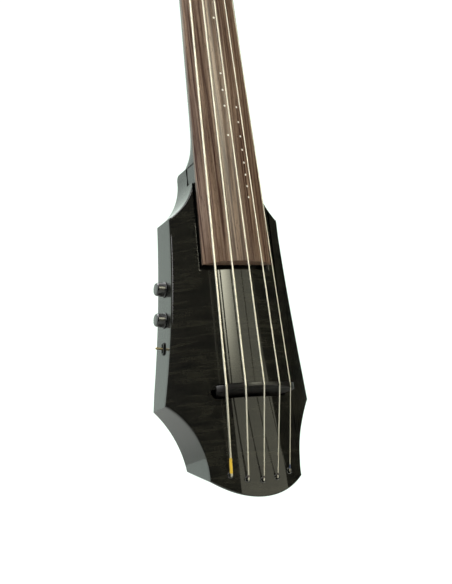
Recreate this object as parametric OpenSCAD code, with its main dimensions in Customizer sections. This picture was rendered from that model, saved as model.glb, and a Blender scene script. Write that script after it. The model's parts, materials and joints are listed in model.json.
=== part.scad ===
// Solid-body upright electric double bass with five strings.
// x is across the strings, y goes from the strings back into the body, z runs up the neck.
// Inside the modules the origin is the point where the middle string crosses the bridge.
// placed() then moves everything so that the origin is the mouth of the stand thread.

/* [Strings] */
// Speaking length from nut to bridge
scale_length = 1067; // [1064:1:1070]
// Radius of the arc that the strings make over the bridge
bridge_arc_r = 79; // [78:0.5:80]
// Angle between neighbouring strings on that arc
string_angle = 18.7; // [18.5:0.1:18.9]
// Spacing of the strings in the nut
nut_pitch = 10.25; // [10.15:0.05:10.35]
// Radius of the arc that the strings make over the nut
nut_arc_r = 80; // [78:1:84]

/* [Fingerboard] */
// Radius of the playing surface
board_r = 80; // [79:0.5:81]
// Half width of the board at its lower end
board_half_low = 51.8; // [51.4:0.1:52]
// Half width of the board at the nut
board_half_nut = 27; // [26.8:0.1:27.4]
// Height of the lower end of the board above the bridge line
board_end = 174.7; // [174:0.1:176]
// Depth of the board's crown behind the middle string at its lower end
board_drop_low = 13.4; // [13.2:0.1:13.6]
// Depth of the board's crown behind the middle string at the nut
board_drop_nut = 2.9; // [2.8:0.1:3.1]
// Diameter of the position dots
dot_d = 3; // [2.6:0.1:3.2]

/* [Body] */
// Radius of the arched front
arch_r = 152.6; // [152:0.2:153]
// Depth of the front's crown behind the strings at the bridge
arch_drop = 36.6; // [36.4:0.1:36.8]
// Tilt of the front against the strings, in degrees
arch_tilt = 0.93; // [0.9:0.01:0.96]
// Thickness of the flamed maple top
top_t = 6; // [5.8:0.1:6.2]
// Half width of the body at its lower corners
corner_half = 109.3; // [109.1:0.1:109.5]
// Depth of the flat lower back behind the strings
back_drop = 126.5; // [126:0.5:127]
// Slope of the upper back towards the neck, in degrees
back_slope = 6; // [5.9:0.05:6.1]

/* [Neck] */
// Depth of the neck's shaft behind the fingerboard
shaft_depth = 27; // [26.5:0.5:27.5]
// Height of the body's upper end above the bridge line
heel_z = 322; // [321:1:323]
// Angle that the headstock leans back
head_angle = 10; // [9.5:0.5:10.5]
// Thickness of the headstock
head_t = 22; // [21.5:0.5:22.5]

/* [Controls] */
// Diameter of the knobs
knob_d = 20; // [19:0.5:21]
// Height of the knobs above the side wall
knob_h = 13; // [12:0.5:14]
// Thickness of the wall that the controls pass through
wall_t = 8; // [7.5:0.5:8.5]

/* [Tuners] */
// Teeth on each tuner gear
gear_teeth = 18; // [18:1:18]
// Tooth pitch, measured along the worm
worm_lead = 3.927; // [3.92:0.001:3.93]
// Distance between the axes of worm and gear
gear_centre = 15.25; // [15.25:0.05:15.35]
// Radius of the tuner posts
post_r = 5; // [5:0.1:5]

/* [Stand mount] */
// Tapping radius of the stand thread, M8
thread_r = 3.4; // [3.3:0.05:3.4]
// Length of the stand thread
thread_l = 14; // [13:1:16]
// Height of the stand thread below the bridge line
stand_drop = 35; // [34:1:36]

/* [Hidden] */

// Curves are drawn with this many sides, more on the largest radii
round_n = 64;
fine_n = 128;
large_n = 480;
small_n = 32;

// Gap between faces of neighbouring pieces that can slide on each other
slip = 0.05;
// Cutting tools stand this far proud of what they cut
proud = 1;

// ---- strings -----------------------------------------------------------------------------
// Strings from left to right seen from the front: B, E, A, D and G
STRING_R = [1.65, 1.35, 1.1, 0.9, 0.7];
nut_lift = 0.6;
nut_t = 6;
function bridge_x(i) = bridge_arc_r * sin((i - 2) * string_angle);
function bridge_y(i) = bridge_arc_r * (1 - cos((i - 2) * string_angle));
function nut_x(i) = (i - 2) * nut_pitch;
function nut_y(i) = nut_lift + nut_arc_r - sqrt(nut_arc_r ^ 2 - nut_x(i) ^ 2);
function bridge_point(i) = [bridge_x(i), bridge_y(i), 0];
function nut_point(i) = [nut_x(i), nut_y(i), scale_length + nut_t / 2];
// Point on string i at height z
function string_at(i, z) = bridge_point(i) + (nut_point(i) - bridge_point(i)) * z / (scale_length + nut_t / 2);

// ---- fingerboard ---------------------------------------------------------------------------
board_len = scale_length - board_end;
board_edge_t = 5;
board_rise = atan((board_drop_low - board_drop_nut) / board_len);
function board_half(z) = board_half_low + (board_half_nut - board_half_low) * (z - board_end) / board_len;
function board_crown(z) = board_drop_low + (board_drop_nut - board_drop_low) * (z - board_end) / board_len;
function board_top(x, z) = board_crown(z) + board_r - sqrt(board_r ^ 2 - x ^ 2);
// The underside is a plane that leaves the edges board_edge_t thick
seat_low = board_top(board_half_low, board_end) + board_edge_t;
seat_nut = board_top(board_half_nut, scale_length) + board_edge_t;
seat_tilt = atan((seat_low - seat_nut) / board_len);
function seat(z) = seat_low + (seat_nut - seat_low) * (z - board_end) / board_len;
// The facet under the lowest string starts at a ridge between the two lowest strings
ridge_low = -35.1;
ridge_nut = -13.5;
facet_extra = 0.9;
function ridge_x(z) = ridge_low + (ridge_nut - ridge_low) * (z - board_end) / board_len;
// Height of the semitone n above the bridge
function semitone(n) = scale_length * 2 ^ (-n / 12);
// Dots under the middle string and under its upper neighbour
DOTS_MIDDLE = [3, 5, 7, 9, 12, 15, 16, 17, 19];
DOTS_UPPER = [17, 18, 19, 20, 21, 22, 23, 24];
dot_t = 2.5;

// ---- body ----------------------------------------------------------------------------------
shoulder_x = 120.5;
shoulder_z = 310.7;
shoulder_r = 73.2;
side_x = 2082.1;
side_z = 319.2;
side_r = 2000;
waist_x = 216.6;
waist_z = -112.3;
waist_r = 148.3;
corner_z = -10;
waist_foot = [69.4, -121.5];
shoulder_tip = [83.3, 247.6];
block_half = 47.4;
bottom_z = -145.3;
bottom_tilt = 18.3;
bottom_r = 128.2;
knee_z = 14;
blank_low = -175;
side_front = -5;
// Half width of the long side at height z, and the tilt of its normal
function side_half(z) = side_x - sqrt(side_r ^ 2 - (z - side_z) ^ 2);
function side_tilt(z) = asin((side_z - z) / side_r);
// Depth of the arched front
function arch_y(x, z) = arch_drop - z * tan(arch_tilt) + arch_r - sqrt(arch_r ^ 2 - x ^ 2);
// Depth of the upper back
function back_y(z) = z > knee_z ? back_drop - (z - knee_z) * tan(back_slope) : back_drop;

// ---- neck ----------------------------------------------------------------------------------
tongue_inset = 1.5;
tongue_end = 176;
tongue_back = 62;
pocket_play = 0.02;
// The top stands back from the neck's tongue by this much
top_gap = 1.5;
pocket_end = 170;
head_start = scale_length + nut_t + 2;
head_y = seat_nut;
head_len = 206;

// ---- bridge --------------------------------------------------------------------------------
bridge_half = 58;
bridge_crown_low = -1;
bridge_crown_high = 3;
pocket_half = 57;
pocket_r = 10;
pocket_depth = 26;
bridge_foot_y = 56;

// ---- string anchors --------------------------------------------------------------------------
ANCHOR_X = [-44, -22, 0, 22, 44];
ANCHOR_Z = [-112, -119.5, -122, -119.5, -112];
anchor_rise = 12;
anchor_r = 3.6;
function anchor_point(i) = [ANCHOR_X[i], arch_y(ANCHOR_X[i], ANCHOR_Z[i]), ANCHOR_Z[i]];
anchor_dir = [0, cos(anchor_rise), sin(anchor_rise)];
// The string turns over the lip of its ferrule here
function exit_point(i) = anchor_point(i) - anchor_dir * (1.7 + STRING_R[i]);
function anchor_run(i) = (back_drop - anchor_point(i)[1]) / cos(anchor_rise);
ferrule_r = 4.4;
rear_ferrule_r = 7.5;
rear_barrel_r = 6.4;
rear_barrel_l = 12;
ball_r = 3.4;
ball_l = 6.4;
ball_inset = 7;

// ---- controls ------------------------------------------------------------------------------
// Height and depth of each control on the left side wall
VOLUME_AT = [89, 153.9];
TONE_AT = [91.7, 110.8];
TOGGLE_AT = [94.7, 71.7];
pot_r = 12;
pot_t = 11;
pot_bush_r = 4;
pot_shaft_r = 3;
skirt_r = 11.2;
skirt_t = 1.3;
spot_r = 14.5;
slot_len = 13.5;
slot_w = 4.5;
bezel_rim = 2.2;
bezel_t = 2;
lever_r = 1.75;
lever_out = 11.6;
pivot_in = 12;
// The electronics cavity behind the left wing, as x at its top and bottom and the heights
cavity_top = 188;
cavity_low = 44;
cavity_in = -36;
cavity_front = 73;
cover_t = 2.5;
cover_lip = 6;
JACK_AT = [97, 62];
jack_bore_r = 3.2;
jack_bore_l = 16;
jack_r = 8;
jack_l = 30;
jack_plate_t = 2;

// ---- stand plate -----------------------------------------------------------------------------
plate_w = 84;
plate_h = 58;
plate_t = 6;
plate_boss_r = 11;

// ---- tuners --------------------------------------------------------------------------------
// Post positions on the headstock, across and along, and the side that each key points to
POST_X = [-28, -26, -22, 22, 28];
POST_V = [52, 107, 162, 134, 79];
KEY_SIDE = [-1, -1, -1, 1, 1];
frame_t = 2;
worm_w = 8;
gear_t = 4;
gear_tip_r = 12.5;
gear_root_r = 9.8;
worm_tip_r = 5;
worm_root_r = 2.6;
worm_len = 12;
ear_t = 4;
key_r = 2.5;
bush_r = 7.5;
post_up = 24;
winding_turns = 4;
winding_up = 7;

module placed() {
    translate([0, -back_drop, stand_drop]) children();
}

// Extrudes an outline drawn in x and z from depth y0 to depth y1
module slab(y0, y1) {
    translate([0, y1, 0]) rotate([90, 0, 0]) linear_extrude(y1 - y0) children();
}

// Solid through a list of rings with the same number of points
module loft(rings) {
    n = len(rings[0]);
    m = len(rings);
    polyhedron(
        points = [for (ring = rings) each ring],
        faces = concat(
            [[for (i = [0:n - 1]) i]],
            [for (j = [0:m - 2], i = [0:n - 1])
                [j * n + i, (j + 1) * n + i, (j + 1) * n + (i + 1) % n, j * n + (i + 1) % n]],
            [[for (i = [n - 1:-1:0]) (m - 1) * n + i]]
        ),
        convexity = 6
    );
}

// Round bar from point p to point q
module bar(p, q, r, n = small_n) {
    d = q - p;
    translate(p)
        rotate([0, acos(d[2] / norm(d)), atan2(d[1], d[0])])
            cylinder(r = r, h = norm(d), $fn = n);
}

// Countersunk screw with a cross recess, head flush at z = 0 and shank down
module screw(head_r, shank_r, length) {
    difference() {
        union() {
            translate([0, 0, -head_r * 0.6])
                cylinder(r1 = shank_r, r2 = head_r, h = head_r * 0.6, $fn = small_n);
            translate([0, 0, -length]) cylinder(r = shank_r, h = length - head_r * 0.3, $fn = small_n);
        }
        for (a = [0, 90]) {
            rotate([0, 0, a]) translate([-head_r * 0.55, -0.35, -head_r * 0.35]) cube([head_r * 1.1, 0.7, head_r]);
        }
    }
}

// Room for that screw
module screw_hole(head_r, shank_r, length) {
    translate([0, 0, -head_r * 0.6])
        cylinder(r1 = shank_r, r2 = head_r, h = head_r * 0.6, $fn = small_n);
    translate([0, 0, -length]) cylinder(r = shank_r, h = length, $fn = small_n);
    cylinder(r = head_r, h = proud, $fn = small_n);
}

// ---- body ----------------------------------------------------------------------------------
module outline_half() {
    difference() {
        polygon([
            [0, heel_z], [block_half, heel_z], [block_half, shoulder_z], shoulder_tip,
            [corner_half, corner_z], waist_foot, [waist_foot[0], blank_low], [0, blank_low]
        ]);
        translate([shoulder_x, shoulder_z]) circle(shoulder_r, $fn = fine_n);
        translate([side_x, side_z]) circle(side_r, $fn = 2 * large_n);
        translate([waist_x, waist_z]) circle(waist_r, $fn = large_n);
    }
}

module body_outline() {
    outline_half();
    mirror([1, 0]) outline_half();
}

// Everything behind an arched sheet at the given depth below the front
module behind_arch(depth) {
    translate([0, arch_drop + arch_r, 0])
        rotate([arch_tilt, 0, 0])
            cylinder(r = arch_r - depth, h = 1000, center = true, $fn = large_n);
}

// The slanting round lower end
module bottom_round() {
    axis_z = bottom_z + bottom_r / cos(bottom_tilt);
    translate([0, arch_drop, axis_z])
        rotate([bottom_tilt - 90, 0, 0])
            translate([0, 0, -200]) cylinder(r = bottom_r, h = 500, $fn = large_n);
    translate([-200, -100, axis_z - 20]) cube([400, 400, 600]);
}

// Side view of the body: flat lower back, sloping upper back
module back_profile() {
    rotate([90, 0, 90]) linear_extrude(400, center = true) polygon([
        [side_front, blank_low], [back_drop, blank_low], [back_drop, knee_z],
        [back_y(heel_z + 40), heel_z + 40], [side_front, heel_z + 40]
    ]);
}

// Turns children so that y = 0 is the upper back and z runs up along it from the knee
module on_upper_back() {
    translate([0, back_drop, knee_z]) rotate([back_slope, 0, 0]) children();
}

// Turns children so that z = 0 is the side wall at one control and z points out of the body
module at_left_wall(place) {
    translate([-side_half(place[1]), place[0], place[1]])
        rotate([0, side_tilt(place[1]) - 90, 0]) children();
}

module at_right_wall(place) {
    mirror([1, 0, 0]) at_left_wall(place) children();
}

module tongue_outline(play, low) {
    polygon([
        [-board_half(low) + tongue_inset - play, low], [board_half(low) - tongue_inset + play, low],
        [board_half(heel_z + 2) - tongue_inset + play, heel_z + 2],
        [-board_half(heel_z + 2) + tongue_inset - play, heel_z + 2]
    ]);
}

module neck_pocket(play) {
    slab(side_front - 10, tongue_back + pocket_play) tongue_outline(play, pocket_end);
    translate([-block_half - 20, side_front - 10, 296])
        cube([2 * block_half + 40, tongue_back + pocket_play + 10 - side_front, 60]);
}

module bridge_pocket() {
    reach = pocket_half - pocket_r;
    slab(arch_drop - 10, bridge_foot_y + pocket_depth - 20) union() {
        for (side = [-1, 1]) translate([side * reach, 0]) circle(pocket_r, $fn = round_n);
        translate([-reach, -pocket_r]) square([2 * reach, 2 * pocket_r]);
    }
}

module anchor_frame(i) {
    translate(anchor_point(i)) rotate([anchor_rise - 90, 0, 0]) children();
}

module anchor_holes(r) {
    for (i = [0:4]) anchor_frame(i) translate([0, 0, -10]) cylinder(r = r, h = anchor_run(i) + 30, $fn = small_n);
}

// Sunk seats for the lips of the front ferrules
module ferrule_seats() {
    for (i = [0:4]) anchor_frame(i) translate([0, 0, -10]) cylinder(r = ferrule_r + slip, h = 10, $fn = small_n);
}

module cavity_outline(inset) {
    wall_top = side_half(cavity_top) - wall_t - inset;
    wall_low = side_half(cavity_low) - wall_t - inset;
    polygon([
        [-wall_low, cavity_low + inset], [cavity_in - inset, cavity_low + inset],
        [cavity_in - inset, cavity_top - inset], [-wall_top, cavity_top - inset]
    ]);
}

// Places of the cover's screws, across and along the upper back
COVER_SCREWS = [[-94, 27], [-33, 27], [-33, 102], [-33, 178], [-79.5, 178], [-88, 102]];

module cover_outline(play) {
    polygon([
        [-97.5 - play, 24 - play], [-30 + play, 24 - play], [-30 + play, 181 + play], [-82.5 - play, 181 + play]
    ]);
}

// Neck bolts, across and along the upper back
NECK_BOLTS = [[-28, 196], [28, 196], [-28, 276], [28, 276]];
bolt_head_r = 6;
bolt_r = 3;
bolt_sink = 14;
bolt_len = 56;

module body_core() {
    color("dimgray") placed() difference() {
        intersection() {
            slab(side_front, back_drop + 20) body_outline();
            behind_arch(top_t);
            bottom_round();
            back_profile();
        }
        neck_pocket(pocket_play);
        bridge_pocket();
        anchor_holes(anchor_r);
        for (i = [0:4]) anchor_frame(i) {
            translate([0, 0, anchor_run(i) - rear_barrel_l]) cylinder(r = rear_barrel_r, h = 40, $fn = small_n);
            translate([0, 0, anchor_run(i) - 1.8]) cylinder(r = rear_ferrule_r, h = 40, $fn = small_n);
        }
        slab(cavity_front, back_drop + 20) cavity_outline(0);
        on_upper_back() {
            slab(-cover_t, 20) cover_outline(0.3);
            for (p = COVER_SCREWS) {
                translate([p[0], -cover_t, p[1]]) rotate([-90, 0, 0])
                    translate([0, 0, -9]) cylinder(r = 1.05, h = 12, $fn = small_n);
            }
            for (p = NECK_BOLTS) translate([p[0], 0, p[1]]) rotate([-90, 0, 0]) {
                translate([0, 0, -bolt_sink]) cylinder(r = bolt_head_r + 0.5, h = bolt_sink + 20, $fn = round_n);
                translate([0, 0, -bolt_len - 10]) cylinder(r = bolt_r + 0.3, h = bolt_len + 10, $fn = small_n);
            }
        }
        for (place = [VOLUME_AT, TONE_AT]) at_left_wall(place) {
            translate([0, 0, -wall_t - 3]) cylinder(r = pot_bush_r + slip, h = wall_t + 10, $fn = small_n);
            translate([0, 0, -wall_t - 20]) cylinder(r = spot_r, h = 20, $fn = round_n);
            translate([0, 0, -1.2]) cylinder(r = 9, h = 10, $fn = round_n);
        }
        at_left_wall(TOGGLE_AT) {
            translate([0, 0, -0.5]) linear_extrude(10) toggle_slot_outline(bezel_rim + slip);
            translate([0, 0, -wall_t - 3]) linear_extrude(wall_t + 10) toggle_slot_outline();
            translate([-14, -9, -wall_t - 16]) cube([28, 18, 16]);
            for (v = [-1, 1]) translate([v * 11, 0, -wall_t]) rotate([180, 0, 0])
                translate([0, 0, -5]) cylinder(r = 0.9, h = 8, $fn = small_n);
        }
        at_right_wall(JACK_AT) {
            translate([0, 0, -jack_l - 8]) cylinder(r = jack_r + 1, h = jack_l + 20, $fn = round_n);
            translate([0, 0, -jack_plate_t]) linear_extrude(10) jack_plate_outline(0.2);
            for (v = [-1, 1]) translate([v * 15, 0, -9]) cylinder(r = 1.1, h = 12, $fn = small_n);
        }
        wire_channels();
        translate([0, back_drop, -stand_drop]) rotate([-90, 0, 0]) {
            translate([-plate_w / 2 - 0.1, -plate_h / 2 - 0.1, -plate_t]) cube([plate_w + 0.2, plate_h + 0.2, 30]);
            translate([0, 0, -thread_l - 2]) cylinder(r = plate_boss_r + 0.2, h = 20, $fn = round_n);
            stand_screw_places() translate([0, 0, -24]) cylinder(r = 1.8, h = 30, $fn = small_n);
        }
        for (x = [-38, 38]) translate([x, bridge_foot_y + 5, 0]) rotate([-90, 0, 0])
            cylinder(r = 3.05, h = 17, $fn = small_n);
    }
}

module toggle_slot_outline(rim = 0) {
    reach = (slot_len - slot_w) / 2;
    half = slot_w / 2 + rim;
    for (s = [-1, 1]) translate([s * reach, 0]) circle(half, $fn = small_n);
    translate([-reach, -half]) square([2 * reach, 2 * half]);
}

module jack_plate_outline(play) {
    for (s = [-1, 1]) translate([s * 14, 0]) circle(8 + play, $fn = round_n);
    translate([-14, -8 - play]) square([28, 16 + 2 * play]);
}

module stand_screw_places() {
    for (x = [-1, 1], v = [-1, 1]) translate([x * (plate_w / 2 - 9), v * (plate_h / 2 - 9), 0]) children();
}

// Drillings from the electronics cavity to the bridge pocket and to the jack
wire_y = 96;
wire_z = 56;
wire_hole_r = 3.5;
lead_x = -46;

module wire_channels() {
    bar([cavity_in - 10, wire_y, wire_z], [side_half(wire_z) - jack_l, wire_y, wire_z], wire_hole_r);
    bar([lead_x, 64, -2], [lead_x, 84, cavity_low + 6], wire_hole_r);
}

module top_plate() {
    color([0.07, 0.07, 0.06]) placed() difference() {
        intersection() {
            slab(side_front, back_drop) body_outline();
            difference() {
                behind_arch(0);
                behind_arch(top_t);
            }
            bottom_round();
        }
        neck_pocket(top_gap);
        bridge_pocket();
        anchor_holes(anchor_r);
        ferrule_seats();
    }
}

// ---- neck, fingerboard and headstock ---------------------------------------------------------
// Half of a superellipse behind the seat of the fingerboard
function shaft_ring(z, half, depth, power) = [
    for (k = [0:20]) let (a = k * 9)
        [half * sign(cos(a)) * abs(cos(a)) ^ (2 / power), seat(z) + depth * sin(a) ^ (2 / power), z]
];
// Height, depth behind the seat and squareness of the shaft, from the heel to the nut
SHAFT = [
    [322, 53, 4.5], [325, 50, 4.2], [328, 45, 3.8], [332, 39.5, 3.3], [338, 34.5, 2.8],
    [346, 31, 2.45], [356, 28.6, 2.2], [370, 27.3, 2.05], [390, 27, 2]
];

module neck() {
    shaft = [for (s = SHAFT) shaft_ring(s[0], board_half(s[0]) - 0.2, s[1] * shaft_depth / 27, s[2])];
    upper = [for (z = [600, 850, head_start + 6]) shaft_ring(z, board_half(z) - 0.2, shaft_depth, 2)];
    color([0.1, 0.1, 0.09]) placed() difference() {
        union() {
            loft(concat(shaft, upper));
            difference() {
                slab(0, tongue_back) tongue_outline(0, tongue_end);
                front_of_seat();
            }
            in_head() slab(0, head_t) head_outline();
        }
        // The truss rod lies in a channel under the fingerboard
        translate([0, seat(420), 420]) rotate([seat_tilt, 0, 0])
            translate([-3.1, -1, 0]) cube([6.2, 10.6, scale_length - 402]);
        in_head() {
            translate([-70, -40, 0]) cube([140, 40, 60]);
            translate([0, -1, 24]) rotate([-90, 0, 0]) rod_pocket();
            for (p = COVER_HOLES) translate([p[0], -1, p[1]]) rotate([-90, 0, 0])
                cylinder(r = 1, h = 9, $fn = small_n);
            for (i = [0:4]) at_post(i) {
                translate([0, 0, -head_t - 5]) cylinder(r = bush_r - 1 + slip, h = head_t + 10, $fn = round_n);
            }
            for (i = [0:4]) at_post_back(i) frame_screw_places() translate([0, 0, -9])
                cylinder(r = 1.2, h = 10, $fn = small_n);
        }
        on_upper_back() for (p = NECK_BOLTS) translate([p[0], 0, p[1]]) rotate([-90, 0, 0])
            translate([0, 0, -bolt_len - 3]) cylinder(r = bolt_r + slip, h = bolt_len, $fn = small_n);
        nut_seat();
    }
}

// The space in front of the plane that the fingerboard is glued to
module front_of_seat() {
    translate([0, seat(board_end), board_end]) rotate([seat_tilt, 0, 0]) translate([-150, -300, -200]) cube([300, 300, 1400]);
}

module nut_seat() {
    translate([-40, -30, scale_length]) cube([80, 30 + seat_nut, nut_t]);
}

module in_head() {
    translate([0, head_y, head_start]) rotate([-head_angle, 0, 0]) children();
}

module head_outline() {
    intersection() {
        polygon([
            [-board_half_nut, -8], [board_half_nut, -8], [board_half_nut + 1, 4], [36, 16], [44, 34],
            [46, 60], [40, 150], [38, head_len], [-38, head_len], [-40, 150], [-46, 60], [-44, 34],
            [-36, 16], [-board_half_nut - 1, 4]
        ]);
        union() {
            translate([0, head_len - 62]) circle(62, $fn = fine_n);
            translate([-60, -20]) square([120, head_len - 44]);
        }
    }
}

module rod_pocket() {
    reach = 11;
    for (s = [-1, 1]) translate([0, -s * reach, 0]) cylinder(r = 5, h = 9, $fn = small_n);
    translate([-5, -reach, 0]) cube([10, 2 * reach, 9]);
}

COVER_HOLES = [[-6.3, 5], [6.3, 5], [0, 46]];

module truss_rod() {
    z0 = 424;
    z1 = scale_length + 8;
    color("silver") placed() union() {
        bar([0, seat(z0) + 6, z0], [0, seat(z1) + 6, z1], 2.6);
        bar([0, seat(z1 - 1) + 6, z1 - 1], [0, seat(z1 + 10) + 6, z1 + 10], 3.4, 6);
    }
}

module truss_rod_cover() {
    color([0.05, 0.05, 0.05]) placed() in_head() difference() {
        slab(-2, 0) union() {
            translate([0, 42]) circle(9, $fn = round_n);
            translate([-9, 2]) square([18, 40]);
        }
        for (p = COVER_HOLES) translate([p[0], -2, p[1]]) rotate([90, 0, 0]) screw_hole(2, 1, 8);
    }
}

module truss_cover_screws() {
    color("silver") placed() in_head() for (p = COVER_HOLES) {
        translate([p[0], -2, p[1]]) rotate([90, 0, 0]) screw(1.95, 0.95, 8);
    }
}

module board_blank() {
    slab(-5, 60) polygon([
        [-board_half(board_end), board_end], [board_half(board_end), board_end],
        [board_half(scale_length), scale_length], [-board_half(scale_length), scale_length]
    ]);
}

module board_round(shrink = 0) {
    translate([0, board_crown(board_end) + board_r, board_end])
        rotate([board_rise, 0, 0])
            translate([0, 0, -20]) cylinder(r = board_r - shrink, h = board_len + 60, $fn = large_n);
}

function facet_ring(z) = let (
    r = ridge_x(z),
    e = -board_half(z),
    ry = board_top(r, z),
    ey = board_top(e, z) + facet_extra * (board_half(z) / board_half_low),
    s = (ey - ry) / (e - r)
) [[r, ry, z], [e - 12, ey - 12 * s, z], [e - 12, -40, z], [r, -40, z]];

module facet_cut() {
    loft([for (k = [0:12]) facet_ring(board_end - 2 + k * (board_len + 4) / 12)]);
}

function dot_x(upper, z) = upper ? string_at(3, z)[0] : 0;

// Runs children at each dot, with z pointing out of the playing surface
module dot_places() {
    for (upper = [false, true], n = upper ? DOTS_UPPER : DOTS_MIDDLE) {
        z = semitone(n);
        x = dot_x(upper, z);
        translate([x, board_top(x, z), z]) rotate([90, 0, 0]) rotate([0, asin(x / board_r), 0]) children();
    }
}

module fingerboard() {
    color([0.32, 0.22, 0.17]) placed() difference() {
        intersection() {
            board_blank();
            board_round();
            front_of_seat();
        }
        facet_cut();
        dot_places() translate([0, 0, -dot_t]) cylinder(d = dot_d, h = dot_t + 5, $fn = small_n);
    }
}

module position_dots() {
    color("white") placed() intersection() {
        dot_places() translate([0, 0, -dot_t]) cylinder(d = dot_d, h = dot_t + 2, $fn = small_n);
        board_round();
    }
}

module nut() {
    color([0.08, 0.08, 0.08]) placed() difference() {
        intersection() {
            translate([-board_half_nut, -20, scale_length]) cube([2 * board_half_nut, 20 + seat_nut, nut_t]);
            translate([0, nut_lift + nut_arc_r - 1.2, scale_length - 10])
                cylinder(r = nut_arc_r, h = 40, $fn = large_n);
        }
        nut_grooves();
    }
}

module neck_bolts() {
    color("silver") placed() on_upper_back() for (p = NECK_BOLTS) {
        translate([p[0], -bolt_sink, p[1]]) rotate([-90, 0, 0]) difference() {
            union() {
                cylinder(r = bolt_head_r, h = 6, $fn = round_n);
                translate([0, 0, -bolt_len + bolt_sink]) cylinder(r = bolt_r, h = bolt_len - bolt_sink, $fn = small_n);
            }
            translate([0, 0, 2.5]) cylinder(r = 2.9, h = 5, $fn = 6);
        }
    }
}

// ---- bridge --------------------------------------------------------------------------------
module bridge_face() {
    edge_y = bridge_arc_r - sqrt(bridge_arc_r ^ 2 - bridge_half ^ 2);
    intersection() {
        translate([0, -bridge_arc_r]) circle(bridge_arc_r, $fn = large_n);
        polygon([
            [-bridge_half, 5], [-bridge_half, -edge_y - 3], [-46, -50], [-46, -bridge_foot_y], [46, -bridge_foot_y],
            [46, -50], [bridge_half, -edge_y - 3], [bridge_half, 5]
        ]);
    }
}

module bridge() {
    color([0.06, 0.06, 0.06]) placed() difference() {
        intersection() {
            translate([0, 0, -12]) linear_extrude(24) mirror([0, 1]) bridge_face();
            // Side view: a thin crown that thickens to the foot
            rotate([90, 0, 90]) linear_extrude(200, center = true) polygon([
                [-1, bridge_crown_low], [3, bridge_crown_low - 0.6], [bridge_foot_y, -7.5],
                [bridge_foot_y, 7.5], [3, bridge_crown_high + 0.3], [-1, bridge_crown_high]
            ]);
        }
        bridge_grooves();
        for (x = [-38, 38]) translate([x, bridge_foot_y - 12, 0]) rotate([-90, 0, 0]) cylinder(r = 3.05, h = 14, $fn = small_n);
        pickup_slots(0.1);
    }
}

// Film pickups sit in a slot near the crown, one below each string
module pickup_slots(play) {
    for (i = [0:4]) {
        translate([bridge_x(i) * 0.94, bridge_y(i) + 9, 1]) rotate([0, 0, -(i - 2) * string_angle * -1])
            cube([8 + 2 * play, 3 + 2 * play, 1.6 + 2 * play], center = true);
    }
}

module bridge_height_screws() {
    color("silver") placed() for (x = [-38, 38]) translate([x, bridge_foot_y - 12, 0]) rotate([-90, 0, 0]) {
        cylinder(r = 3, h = 28, $fn = small_n);
        translate([0, 0, 12.2]) cylinder(r = 6, h = 2.5, $fn = round_n);
    }
}

module bridge_pickups() {
    color("goldenrod") placed() pickup_slots(0);
}

// ---- strings ---------------------------------------------------------------------------------
// Direction of post i seen from the nut, and where its string meets the winding
function post_xyz(i, up) = let (v = POST_V[i], c = cos(head_angle), s = sin(head_angle))
    [POST_X[i], head_y + s * v - c * up, head_start + c * v + s * up];
function winding_r(i) = post_r + 0.06 + 2 * STRING_R[i];
function tangent_point(i) = post_xyz(i, winding_up + STRING_R[i])
    - [KEY_SIDE[i] * (post_r + 0.06 + STRING_R[i]), 0, 0];
function ball_point(i) = anchor_point(i) + anchor_dir * (anchor_run(i) - ball_inset);

module string_path(i, grow = 0) {
    r = STRING_R[i] + grow;
    bar(ball_point(i), exit_point(i), r);
    bar(exit_point(i), bridge_point(i), r);
    bar(bridge_point(i), nut_point(i), r);
    bar(nut_point(i), tangent_point(i), r);
    for (p = [exit_point(i), bridge_point(i), nut_point(i)]) translate(p) sphere(r * 1.04, $fn = small_n);
}

// Room for a string that bends at point p between points q and r
module groove(p, q, r, radius) {
    for (e = [q, r]) bar(p, p + 16 * (e - p) / norm(e - p), radius);
    translate(p) sphere(radius * 1.1, $fn = small_n);
}

module bridge_grooves() {
    for (i = [0:4]) groove(bridge_point(i), exit_point(i), nut_point(i), STRING_R[i] * 1.04 + 0.02);
}

module nut_grooves() {
    for (i = [0:4]) groove(nut_point(i), bridge_point(i), tangent_point(i), STRING_R[i] * 1.04 + 0.02);
}

module music_string(i) {
    placed() {
        string_path(i);
        in_head() at_post(i) translate([0, 0, winding_up]) difference() {
            cylinder(r = winding_r(i) + 0.15, h = 2 * STRING_R[i] * winding_turns, $fn = round_n);
            translate([0, 0, -1]) cylinder(r = post_r + 0.05, h = 40, $fn = round_n);
        }
    }
}

module string_b() { color([0.8, 0.79, 0.7]) music_string(0); }
module string_e() { color([0.8, 0.79, 0.7]) music_string(1); }
module string_a() { color([0.8, 0.79, 0.7]) music_string(2); }
module string_d() { color([0.8, 0.79, 0.7]) music_string(3); }
module string_g() { color([0.8, 0.79, 0.7]) music_string(4); }

silk_len = [20, 3, 3, 3, 6];

module string_silks() {
    color("gold") placed() for (i = [0:4]) {
        dir = (bridge_point(i) - exit_point(i)) / norm(bridge_point(i) - exit_point(i));
        start = exit_point(i) + dir * 3;
        difference() {
            bar(start, start + dir * silk_len[i], STRING_R[i] + 0.35);
            bar(start - dir, start + dir * (silk_len[i] + 1), STRING_R[i]);
        }
    }
}

module ball_ends() {
    color("goldenrod") placed() for (i = [0:4]) translate(ball_point(i)) {
        rotate([anchor_rise - 90, 0, 0]) translate([0, 0, 3.45]) rotate([0, 90, 0])
            cylinder(r = ball_r, h = ball_l, center = true, $fn = small_n);
    }
}

module front_ferrules() {
    color([0.08, 0.08, 0.08]) placed() for (i = [0:4]) anchor_frame(i) rotate_extrude($fn = round_n) polygon([
        [2.6, -0.6], [3.1, -1.1], [3.7, -1.2], [4.2, -0.9], [4.35, -0.3], [4.35, 0], [3.55, 0],
        [3.55, 12], [2.6, 12]
    ]);
}

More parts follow.
